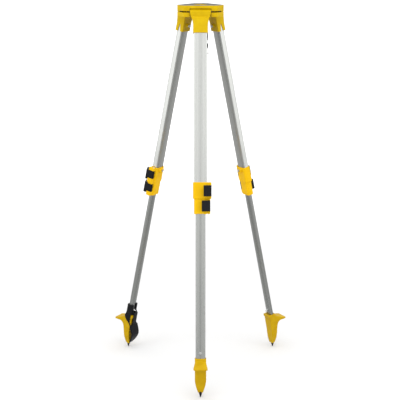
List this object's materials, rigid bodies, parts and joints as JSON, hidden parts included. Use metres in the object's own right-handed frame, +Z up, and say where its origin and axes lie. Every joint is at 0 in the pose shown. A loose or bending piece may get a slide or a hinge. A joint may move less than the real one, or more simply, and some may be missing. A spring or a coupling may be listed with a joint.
{
  "type": "surveyor tripod",
  "caption": "Aluminium surveying tripod with a flat triangular head, fixing screw on a swing arm, telescopic legs with lever clamps and pointed step shoes.",
  "frame": {"origin": "centre of the head's flat top face", "axes": "+Z up out of the instrument face, -Y along the front leg's azimuth, +X to the right seen from the front leg"},
  "size_m": [0.7494, 0.6509, 1.5001],
  "materials": {
    "yellow_casting": "powder-coated cast aluminium, satin",
    "yellow_plastic": "moulded nylon, satin",
    "bright_aluminium": "extruded, clear anodised",
    "anodised_aluminium": "drawn, plain anodised",
    "bright_steel": "zinc plated",
    "dark_steel": "blackened",
    "brass": "turned",
    "black_plastic": "moulded, fine texture",
    "bush_plastic": "turned acetal"
  },
  "bodies": {
    "head": {"head_plate": "yellow_casting", "hinge_cap_rear": "yellow_casting", "hinge_cap_left": "yellow_casting", "hinge_cap_right": "yellow_casting", "hinge_cap_bolts": "dark_steel", "hinge_pins": "dark_steel", "arm_pivot_bolt": "bright_steel"},
    "arm": {"swing_arm": "anodised_aluminium"},
    "slider": {"screw_slider": "brass"},
    "collar": {"thrust_collar": "brass"},
    "fixing_screw": {"fixing_stud": "brass", "screw_knob": "black_plastic"},
    "plumb_hook": {"plumb_hanger": "bright_steel", "hanger_bead": "black_plastic"},
    "front_leg": {"front_bracket": "yellow_casting", "front_hinge_bushes": "bush_plastic", "front_upper_tube": "bright_aluminium", "front_top_plug": "bush_plastic", "front_bracket_screw": "bright_steel", "front_clamp_body": "yellow_plastic", "front_clamp_liner": "bush_plastic", "front_clamp_fasteners": "bright_steel"},
    "front_extension": {"front_lower_tube": "anodised_aluminium", "front_tube_guide": "bush_plastic", "front_shoe": "yellow_casting", "front_spike": "dark_steel", "front_shoe_bolt": "bright_steel"},
    "front_upper_lever": {"front_upper_lever": "black_plastic"},
    "front_lower_lever": {"front_lower_lever": "black_plastic"},
    "right_leg": {"right_bracket": "yellow_casting", "right_hinge_bushes": "bush_plastic", "right_upper_tube": "bright_aluminium", "right_top_plug": "bush_plastic", "right_bracket_screw": "bright_steel", "right_clamp_body": "yellow_plastic", "right_clamp_liner": "bush_plastic", "right_clamp_fasteners": "bright_steel"},
    "right_extension": {"right_lower_tube": "anodised_aluminium", "right_tube_guide": "bush_plastic", "right_shoe": "yellow_casting", "right_spike": "dark_steel", "right_shoe_bolt": "bright_steel"},
    "right_upper_lever": {"right_upper_lever": "black_plastic"},
    "right_lower_lever": {"right_lower_lever": "black_plastic"},
    "left_leg": {"left_bracket": "yellow_casting", "left_hinge_bushes": "bush_plastic", "left_upper_tube": "bright_aluminium", "left_top_plug": "bush_plastic", "left_bracket_screw": "bright_steel", "left_clamp_body": "yellow_plastic", "left_clamp_liner": "bush_plastic", "left_clamp_fasteners": "bright_steel"},
    "left_extension": {"left_lower_tube": "anodised_aluminium", "left_tube_guide": "bush_plastic", "left_shoe": "yellow_casting", "left_spike": "dark_steel", "left_shoe_bolt": "bright_steel", "left_foot_cradle": "black_plastic"},
    "left_upper_lever": {"left_upper_lever": "black_plastic"},
    "left_lower_lever": {"left_lower_lever": "black_plastic"}
  },
  "joints": [
    {"name": "arm_swing", "type": "hinge", "parent": "head", "child": "arm", "pos_m": [0, 0.062, -0.05], "axis": [0, 0, 1], "range_deg": [-12, 8]},
    {"name": "screw_slide", "type": "slide", "parent": "arm", "child": "slider", "axis": [0.0349, -0.9994, 0], "range_m": [-0.012, 0.012]},
    {"name": "screw_lift", "type": "slide", "parent": "slider", "child": "collar", "axis": [0, 0, 1], "range_m": [0, 0.024]},
    {"name": "screw_turn", "type": "hinge", "parent": "collar", "child": "fixing_screw", "pos_m": [0.00216, 0.00004, -0.06], "axis": [0, 0, 1], "continuous": true},
    {"name": "plumb_hook_swing", "type": "hinge", "parent": "fixing_screw", "child": "plumb_hook", "pos_m": [0.02615, 0.00088, -0.136], "axis": [-0.0349, 0.9994, 0], "range_deg": [-60, 60]},
    {"name": "front_leg_spread", "type": "hinge", "parent": "head", "child": "front_leg", "pos_m": [0, -0.058, -0.02475], "axis": [-1, 0, 0], "range_deg": [-12.25, 14]},
    {"name": "front_leg_extension", "type": "slide", "parent": "front_leg", "child": "front_extension", "axis": [0, -0.2122, -0.9772], "range_m": [-0.534, 0.032]},
    {"name": "front_upper_lever_turn", "type": "hinge", "parent": "front_leg", "child": "front_upper_lever", "pos_m": [0.0366, -0.20867, -0.70456], "axis": [0, 0.2122, 0.9772], "range_deg": [0, 110]},
    {"name": "front_lower_lever_turn", "type": "hinge", "parent": "front_leg", "child": "front_lower_lever", "pos_m": [0.032, -0.22113, -0.76192], "axis": [0, 0.2122, 0.9772], "range_deg": [0, 110]},
    {"name": "right_leg_spread", "type": "hinge", "parent": "head", "child": "right_leg", "pos_m": [0.05023, 0.029, -0.02475], "axis": [0.5, -0.866, 0], "range_deg": [-12.25, 14]},
    {"name": "right_leg_extension", "type": "slide", "parent": "right_leg", "child": "right_extension", "axis": [0.1838, 0.1061, -0.9772], "range_m": [-0.534, 0.032]},
    {"name": "right_upper_lever_turn", "type": "hinge", "parent": "right_leg", "child": "right_upper_lever", "pos_m": [0.16241, 0.13603, -0.70456], "axis": [-0.1838, -0.1061, 0.9772], "range_deg": [0, 110]},
    {"name": "right_lower_lever_turn", "type": "hinge", "parent": "right_leg", "child": "right_lower_lever", "pos_m": [0.1755, 0.13828, -0.76192], "axis": [-0.1838, -0.1061, 0.9772], "range_deg": [0, 110]},
    {"name": "left_leg_spread", "type": "hinge", "parent": "head", "child": "left_leg", "pos_m": [-0.05023, 0.029, -0.02475], "axis": [0.5, 0.866, 0], "range_deg": [-12.25, 14]},
    {"name": "left_leg_extension", "type": "slide", "parent": "left_leg", "child": "left_extension", "axis": [-0.1838, 0.1061, -0.9772], "range_m": [-0.505, 0.032]},
    {"name": "left_upper_lever_turn", "type": "hinge", "parent": "left_leg", "child": "left_upper_lever", "pos_m": [-0.19901, 0.07264, -0.70456], "axis": [0.1838, -0.1061, 0.9772], "range_deg": [0, 110]},
    {"name": "left_lower_lever_turn", "type": "hinge", "parent": "left_leg", "child": "left_lower_lever", "pos_m": [-0.2075, 0.08285, -0.76192], "axis": [0.1838, -0.1061, 0.9772], "range_deg": [0, 110]}
  ]
}
